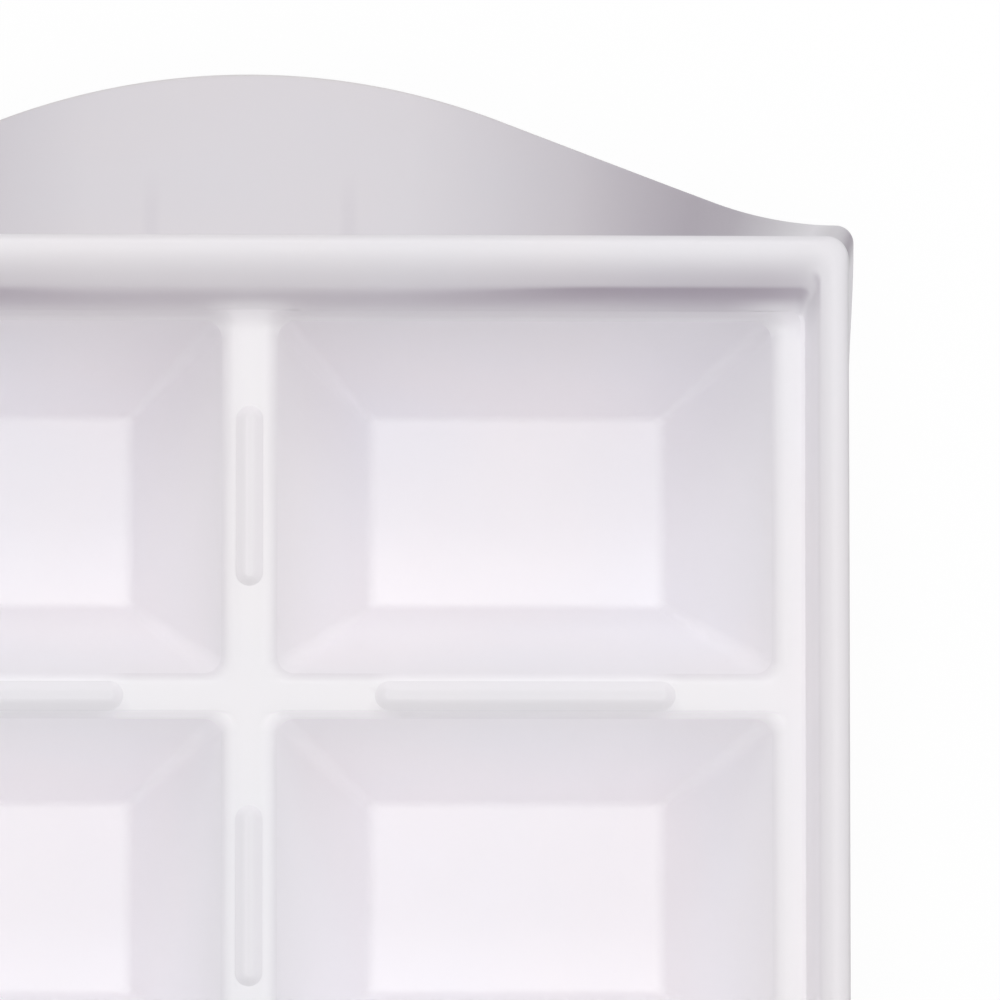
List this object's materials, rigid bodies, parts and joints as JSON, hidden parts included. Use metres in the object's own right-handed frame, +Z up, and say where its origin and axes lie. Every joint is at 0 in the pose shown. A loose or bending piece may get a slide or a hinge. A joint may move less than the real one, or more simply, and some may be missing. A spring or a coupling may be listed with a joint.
{
  "type": "ice cube tray",
  "caption": "Rectangular ice cube tray of white plastic: tapered cups side by side, a raised rim round them, a shallow skirt, and a curved sloping handle at each end.",
  "frame": {"origin": "on the surface that the cups stand on, under the middle of the tray", "axes": "+Y along the tray from the front handle to the back one, +X across it to the right, +Z up"},
  "size_m": [0.123, 0.2878, 0.035],
  "materials": {
    "tray_plastic": "satin, slightly translucent white polypropylene"
  },
  "bodies": {
    "root": {"deck_ledge": "tray_plastic", "spine_divider": "tray_plastic", "cross_dividers": "tray_plastic", "spine_beads": "tray_plastic", "cross_beads": "tray_plastic", "rim_bead": "tray_plastic", "side_skirt_left": "tray_plastic", "side_skirt_right": "tray_plastic", "end_handle_front": "tray_plastic", "end_handle_back": "tray_plastic", "handle_ribs_front": "tray_plastic", "handle_ribs_back": "tray_plastic", "cup_1_left": "tray_plastic", "cup_1_right": "tray_plastic", "cup_2_left": "tray_plastic", "cup_2_right": "tray_plastic", "cup_3_left": "tray_plastic", "cup_3_right": "tray_plastic", "cup_4_left": "tray_plastic", "cup_4_right": "tray_plastic", "cup_5_left": "tray_plastic", "cup_5_right": "tray_plastic", "cup_6_left": "tray_plastic", "cup_6_right": "tray_plastic"}
  },
  "joints": []
}
